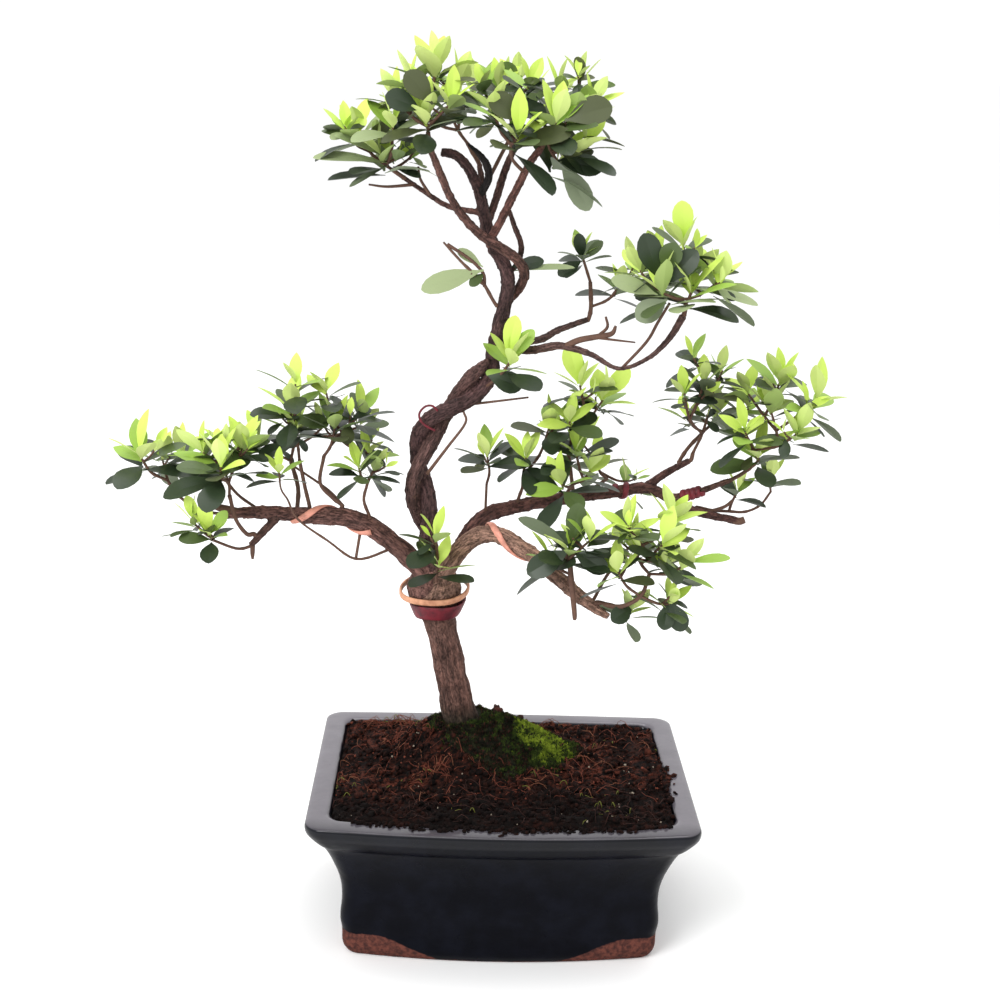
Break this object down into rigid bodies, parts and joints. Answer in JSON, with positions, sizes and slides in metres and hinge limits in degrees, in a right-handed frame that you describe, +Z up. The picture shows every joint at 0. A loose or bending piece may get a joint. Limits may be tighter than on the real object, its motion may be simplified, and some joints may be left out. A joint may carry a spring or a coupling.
{
  "type": "azalea bonsai in a glazed pot",
  "caption": "Small azalea bonsai with a twisted trunk, tied fork, long side boughs and tufts of leaves, growing in an oblong dark glazed pot with moss on its soil.",
  "frame": {"origin": "on the table, under the middle of the whole plant's spread seen from above", "axes": "+Z up; +X to the viewer's right along the pot's long side; +Y away from the viewer"},
  "size_m": [0.3691, 0.159, 0.4611],
  "materials": {
    "glaze": "near-black navy gloss glaze over a red clay body, bare clay on the feet",
    "soil": "dark crumbly potting soil with rusty fibres",
    "moss": "bright green cushion moss",
    "bark": "finely fissured grey-brown to reddish bark",
    "leaves": "small oval leaves, old ones dark green, young ones yellow-green",
    "peach_tie": "matt peach elastic tie",
    "red_tape": "dark red plastic tape",
    "salmon_wire": "salmon plastic-coated training wire"
  },
  "bodies": {
    "root": {"bough_left": "bark", "bough_right_back": "bark", "bough_right_front": "bark", "branch_left_low": "bark", "branch_right_fork": "bark", "branch_right_taped": "bark", "branch_upper_back": "bark", "branch_upper_front": "bark", "crown_back_left_foliage": "leaves", "crown_back_right_foliage": "leaves", "crown_branch_back": "bark", "crown_branch_centre": "bark", "crown_branch_far_left": "bark", "crown_branch_left": "bark", "crown_branch_right": "bark", "crown_front_foliage": "leaves", "crown_left_foliage": "leaves", "crown_right_foliage": "leaves", "crown_strand": "bark", "crown_top_foliage": "leaves", "crown_top_left_foliage": "leaves", "far_back_foliage": "leaves", "far_right_foliage": "leaves", "fork_band": "red_tape", "fork_ring": "peach_tie", "fork_spray": "leaves", "leader_left_foliage": "leaves", "leader_snag": "bark", "leader_spray": "leaves", "leader_twin": "bark", "left_back_foliage": "leaves", "left_back_outer_foliage": "leaves", "left_front_foliage": "leaves", "left_high_foliage": "leaves", "left_inner_foliage": "leaves", "left_low_foliage": "leaves", "left_mid_foliage": "leaves", "left_tip_foliage": "leaves", "left_under_foliage": "leaves", "low_back_foliage": "leaves", "low_right_foliage": "leaves", "low_spray_foliage": "leaves", "mid_back_foliage": "leaves", "mid_left_foliage": "leaves", "mid_right_foliage": "leaves", "mid_second_foliage": "leaves", "mid_tall_foliage": "leaves", "moss": "moss", "pot": "glaze", "right_end_foliage": "leaves", "right_high_foliage": "leaves", "soil": "soil", "tape_right_far": "red_tape", "tape_right_near": "red_tape", "trunk": "bark", "upper_back_foliage": "leaves", "upper_right_foliage": "leaves", "wire_left": "salmon_wire", "wire_loop": "red_tape", "wire_right_near": "salmon_wire"}
  },
  "joints": []
}
